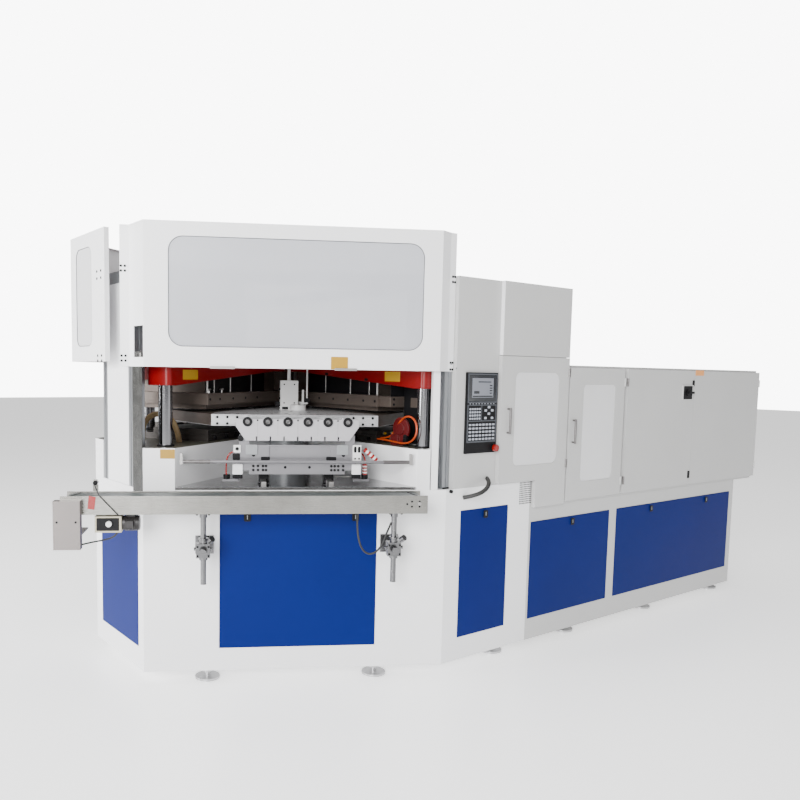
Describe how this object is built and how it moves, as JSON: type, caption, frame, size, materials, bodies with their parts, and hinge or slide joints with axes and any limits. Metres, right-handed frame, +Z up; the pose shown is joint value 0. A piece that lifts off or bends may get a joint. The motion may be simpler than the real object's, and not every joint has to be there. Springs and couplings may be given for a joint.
{
  "type": "blow moulding machine",
  "caption": "Injection blow moulding machine: cabinet base, clamp stations round a turret under lifting guards, outfeed conveyor, long cabinet row.",
  "frame": {"origin": "centre of the bounding box in plan, on the floor", "axes": "+X along the long cabinet side from the moulding end to the injection end, +Z up, -Y out of the long cabinet side with the doors"},
  "size_m": [4.9522, 2.3602, 2.25],
  "materials": {
    "cabinet_white": "satin",
    "panel_blue": "satin",
    "steel_grey": "satin",
    "steel": "satin",
    "aluminium": "satin",
    "black_plastic": "matte",
    "screen": "gloss",
    "stop_red": "gloss",
    "frosted_pane": "satin",
    "dark_steel": "satin",
    "platen_red": "gloss",
    "bar_chrome": "polished",
    "belt_green": "matte",
    "motor_grey": "satin",
    "knob_white": "gloss",
    "black_rubber": "matte",
    "hose_tan": "matte",
    "hose_orange": "satin",
    "tube_red": "gloss"
  },
  "bodies": {
    "machine": {"front_base": "cabinet_white", "base_top": "cabinet_white", "rear_base": "cabinet_white", "front_panels": "panel_blue", "side_panels": "panel_blue", "clamp_bed": "cabinet_white", "deck_plate": "steel", "levelling_feet": "steel_grey", "guard_frame": "aluminium", "fixed_walls": "cabinet_white", "tall_cabinet": "cabinet_white", "low_cabinet": "cabinet_white", "control_panel": "black_plastic", "touch_screen": "screen", "turret_column": "steel_grey", "hydraulics": "steel_grey", "stripper_rails": "steel", "conveyor_frame": "steel", "conveyor_belt": "belt_green", "gear_cover": "steel", "gear_motor": "motor_grey", "speed_box": "black_plastic", "conveyor_brackets": "steel", "control_conduit": "black_rubber", "speed_cable": "black_rubber", "bracket_cable": "black_rubber", "blow_hose": "hose_tan", "injection_hose": "hose_orange", "injection_lower_mould": "dark_steel", "blow_lower_mould": "dark_steel"},
    "injection_clamp": {"injection_platen": "platen_red", "injection_tie_bars": "bar_chrome", "injection_upper_mould": "dark_steel"},
    "blow_clamp": {"blow_platen": "platen_red", "blow_tie_bars": "bar_chrome", "blow_upper_mould": "dark_steel"},
    "turret_lift": {"air_manifold": "cabinet_white"},
    "turret": {"turret_table": "steel"},
    "front_guard": {"front_guard": "cabinet_white", "front_window": "frosted_pane"},
    "blow_guard": {"blow_guard": "cabinet_white", "blow_window": "frosted_pane"},
    "stripper": {"stripper_carriage": "steel", "stripper_plate": "cabinet_white", "air_tube_left": "tube_red", "air_tube_right": "tube_red"},
    "control_door": {"control_door": "cabinet_white", "control_door_window": "frosted_pane", "control_door_handle": "steel_grey"},
    "barrel_door": {"barrel_door": "cabinet_white", "barrel_door_window": "frosted_pane", "barrel_door_handle": "steel_grey"},
    "switch_door": {"switch_door": "cabinet_white"},
    "main_switch": {"main_switch": "black_plastic"},
    "rear_door": {"rear_door": "cabinet_white"},
    "e_stop": {"e_stop_button": "stop_red"},
    "drive_roller": {"drive_roller": "steel"},
    "tail_roller": {"tail_roller": "steel"},
    "speed_knob": {"speed_knob": "knob_white"},
    "injection_unit": {"injection_unit": "cabinet_white"}
  },
  "joints": [
    {"name": "injection_clamp_slide", "type": "slide", "parent": "machine", "child": "injection_clamp", "axis": [0, 0, 1], "range_m": [-0.04, 0]},
    {"name": "blow_clamp_slide", "type": "slide", "parent": "machine", "child": "blow_clamp", "axis": [0, 0, 1], "range_m": [-0.04, 0]},
    {"name": "turret_lift_slide", "type": "slide", "parent": "machine", "child": "turret_lift", "axis": [0, 0, 1], "range_m": [-0.03, 0]},
    {"name": "turret_spin", "type": "hinge", "parent": "turret_lift", "child": "turret", "pos_m": [-0.97816, 0.00423, 1.302], "axis": [0, 0, 1], "continuous": true},
    {"name": "front_guard_slide", "type": "slide", "parent": "machine", "child": "front_guard", "axis": [0, 0, 1], "range_m": [-0.57, 0]},
    {"name": "blow_guard_slide", "type": "slide", "parent": "machine", "child": "blow_guard", "axis": [0, 0, 1], "range_m": [-0.57, 0]},
    {"name": "stripper_slide", "type": "slide", "parent": "machine", "child": "stripper", "axis": [-0.5, -0.866, 0], "range_m": [0, 0.13]},
    {"name": "control_door_hinge", "type": "hinge", "parent": "machine", "child": "control_door", "pos_m": [0.2001, -1.09577, 1.3], "axis": [0, 0, 1], "range_deg": [0, 90]},
    {"name": "barrel_door_hinge", "type": "hinge", "parent": "machine", "child": "barrel_door", "pos_m": [0.7501, -1.09577, 1.2], "axis": [0, 0, 1], "range_deg": [0, 90]},
    {"name": "switch_door_hinge", "type": "hinge", "parent": "machine", "child": "switch_door", "pos_m": [0.7821, -1.09577, 1.2], "axis": [0, 0, -1], "range_deg": [0, 90]},
    {"name": "rear_door_hinge", "type": "hinge", "parent": "machine", "child": "rear_door", "pos_m": [2.4701, -1.09577, 1.2], "axis": [0, 0, 1], "range_deg": [0, 90]},
    {"name": "main_switch_turn", "type": "hinge", "parent": "switch_door", "child": "main_switch", "pos_m": [1.4721, -1.10577, 1.458], "axis": [0, 1, 0], "range_deg": [0, 90]},
    {"name": "e_stop_push", "type": "slide", "parent": "machine", "child": "e_stop", "axis": [0, 1, 0], "range_m": [0, 0.006]},
    {"name": "drive_roller_spin", "type": "hinge", "parent": "machine", "child": "drive_roller", "pos_m": [-2.36674, -0.27585, 0.936], "axis": [-0.5, -0.866, 0], "continuous": true},
    {"name": "tail_roller_spin", "type": "hinge", "parent": "machine", "child": "tail_roller", "pos_m": [-0.95512, -1.09085, 0.936], "axis": [-0.5, -0.866, 0], "continuous": true},
    {"name": "speed_knob_turn", "type": "hinge", "parent": "machine", "child": "speed_knob", "pos_m": [-2.24662, -0.4318, 0.846], "axis": [-0.5, -0.866, 0], "range_deg": [0, 270]},
    {"name": "injection_unit_slide", "type": "slide", "parent": "machine", "child": "injection_unit", "axis": [1, 0, 0], "range_m": [0, 0.25]}
  ],
  "couplings": [
    {"joint": "blow_clamp_slide", "follows": "injection_clamp_slide", "ratio": 1},
    {"joint": "turret_lift_slide", "follows": "injection_clamp_slide", "ratio": 0.75},
    {"joint": "tail_roller_spin", "follows": "drive_roller_spin", "ratio": 1}
  ]
}
